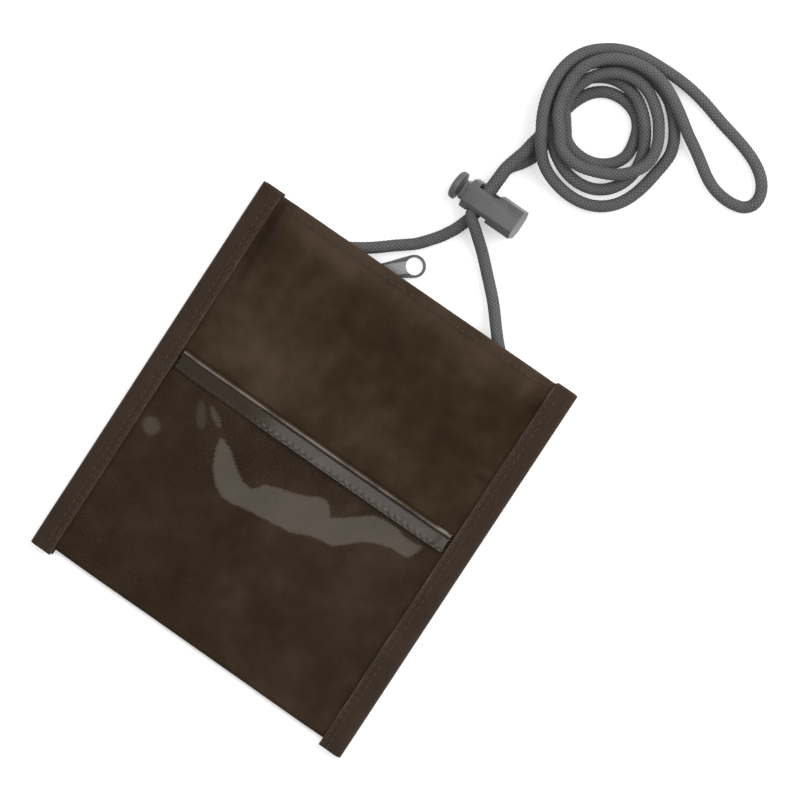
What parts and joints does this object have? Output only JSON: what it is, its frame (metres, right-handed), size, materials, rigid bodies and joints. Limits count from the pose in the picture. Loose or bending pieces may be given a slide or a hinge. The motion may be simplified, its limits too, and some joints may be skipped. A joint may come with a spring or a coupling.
{
  "type": "neck wallet",
  "caption": "Flat fabric neck wallet with a clear window pocket, an open top pocket, a zip pocket on the back and a cord with a sprung lock.",
  "frame": {"origin": "on the surface that the wallet lies on, under the middle of the back panel", "axes": "+X along the top edge, +Y towards the open top and the cord, +Z out of the front with the clear window"},
  "size_m": [0.1427, 0.2509, 0.0144],
  "materials": {
    "brown_nylon": "woven nylon, dull",
    "brown_binding": "woven tape and folded strip, dull",
    "clear_vinyl": "clear, glossy and slightly wavy",
    "zip_tape": "woven tape, dull",
    "zip_coil": "nylon coil, satin",
    "zip_metal": "die-cast, grey, satin",
    "grey_cord": "round braid, dull",
    "grey_plastic": "moulded, satin",
    "spring_steel": "bright wire"
  },
  "bodies": {
    "root": {"back_panel": "brown_nylon", "divider_panel": "brown_nylon", "front_panel": "brown_nylon", "window_sheet": "clear_vinyl", "window_band": "brown_binding", "binding_left": "brown_binding", "binding_right": "brown_binding", "zip_tape_lower": "zip_tape", "zip_tape_upper": "zip_tape", "zip_coil_lower": "zip_coil", "zip_coil_upper": "zip_coil", "zip_stop_left": "zip_metal", "zip_stop_right": "zip_metal", "cord_end_left": "grey_cord", "cord_end_right": "grey_cord", "cord_left": "grey_cord", "cord_right": "grey_cord", "cord_coil": "grey_cord"},
    "slider": {"zip_slider": "zip_metal"},
    "pull": {"zip_pull": "zip_metal"},
    "lock": {"lock_barrel": "grey_plastic", "lock_spring": "spring_steel"},
    "plunger": {"lock_plunger": "grey_plastic"}
  },
  "joints": [
    {"name": "zip_slide", "type": "slide", "parent": "root", "child": "slider", "axis": [1, 0, 0], "range_m": [-0.01255, 0.06055]},
    {"name": "pull_flip", "type": "hinge", "parent": "slider", "child": "pull", "pos_m": [-0.024, 0.0605, 0.00145], "axis": [-0.6691, 0.7431, 0], "range_deg": [-1.5, 170]},
    {"name": "lock_slide", "type": "slide", "parent": "root", "child": "lock", "axis": [0.0599, 0.9982, 0], "range_m": [0, 0.008]},
    {"name": "plunger_press", "type": "slide", "parent": "lock", "child": "plunger", "axis": [1, 0, 0], "range_m": [0, 0.0022], "stiffness_N_per_m": 200, "deforming": ["lock_spring"]}
  ]
}
